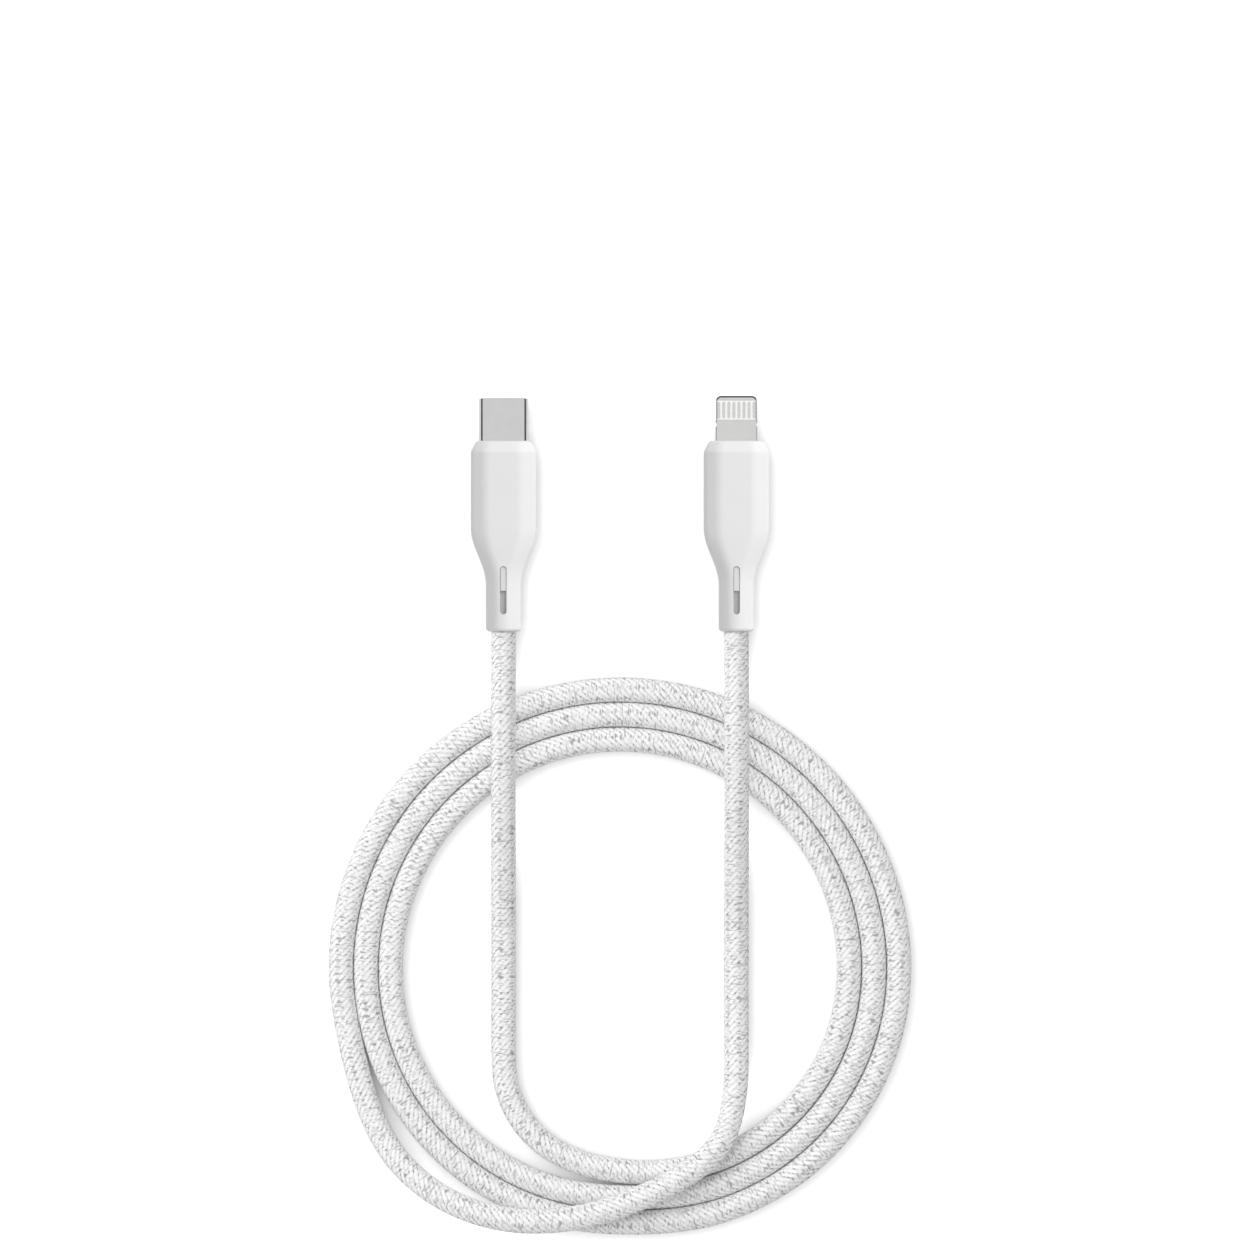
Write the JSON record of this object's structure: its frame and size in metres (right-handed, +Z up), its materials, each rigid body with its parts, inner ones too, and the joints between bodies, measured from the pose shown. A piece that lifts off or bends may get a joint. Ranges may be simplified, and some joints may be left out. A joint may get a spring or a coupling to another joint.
{
  "type": "charging cable",
  "caption": "Braided charging cable stored as a flat coil, with both moulded plugs laid side by side: a type-C plug and a slim reversible phone plug.",
  "frame": {"origin": "on the floor, under the middle of the box round the two plugs, which lie side by side", "axes": "+Z up; +Y the way both plugs point; +X from the type-C plug to the phone plug; the coil lies on the -Y side"},
  "size_m": [0.0976, 0.1399, 0.009],
  "materials": {
    "housing_plastic": "fine satin-matte white moulding",
    "inlay_plastic": "matte pale grey strip",
    "inner_mould_plastic": "unfinished cream moulding",
    "can_steel": "tin-plated sheet, folded",
    "board_laminate": "green solder mask over laminate",
    "chip_plastic": "black moulded package",
    "wire_insulation": "smooth soft insulation",
    "ferrule_brass": "crimped, dull",
    "cord_fabric": "heather braid of white and grey yarn",
    "plug_steel": "polished nickel plating",
    "insert_plastic": "white moulded liner",
    "spring_steel": "bright stamped steel",
    "contact_plating": "gold flash plating",
    "tongue_steel": "bead-blasted stainless, warm grey",
    "core_plastic": "white moulding, level with the contacts",
    "pad_plating": "pale grey rhodium plating"
  },
  "bodies": {
    "root": {"type_c_housing": "housing_plastic", "type_c_slot_inlay": "inlay_plastic", "type_c_inner_mould": "inner_mould_plastic", "type_c_shield_can": "can_steel", "type_c_board": "board_laminate", "type_c_board_parts": "chip_plastic", "type_c_wires": "wire_insulation", "type_c_crimp_ferrule": "ferrule_brass", "type_c_cord_end": "cord_fabric", "phone_housing": "housing_plastic", "phone_slot_inlay": "inlay_plastic", "phone_inner_mould": "inner_mould_plastic", "phone_shield_can": "can_steel", "phone_board": "board_laminate", "phone_board_parts": "chip_plastic", "phone_wires": "wire_insulation", "phone_crimp_ferrule": "ferrule_brass", "phone_cord_end": "cord_fabric", "type_c_tube": "plug_steel", "type_c_contact_insert": "insert_plastic", "type_c_ground_springs": "spring_steel", "type_c_upper_contacts": "contact_plating", "type_c_lower_contacts": "contact_plating", "type_c_side_latch": "spring_steel", "phone_tongue_frame": "tongue_steel", "phone_contact_core": "core_plastic", "phone_upper_contacts": "pad_plating", "phone_lower_contacts": "pad_plating", "type_c_lead": "cord_fabric", "cord_coil": "cord_fabric", "phone_lead": "cord_fabric"}
  },
  "joints": []
}
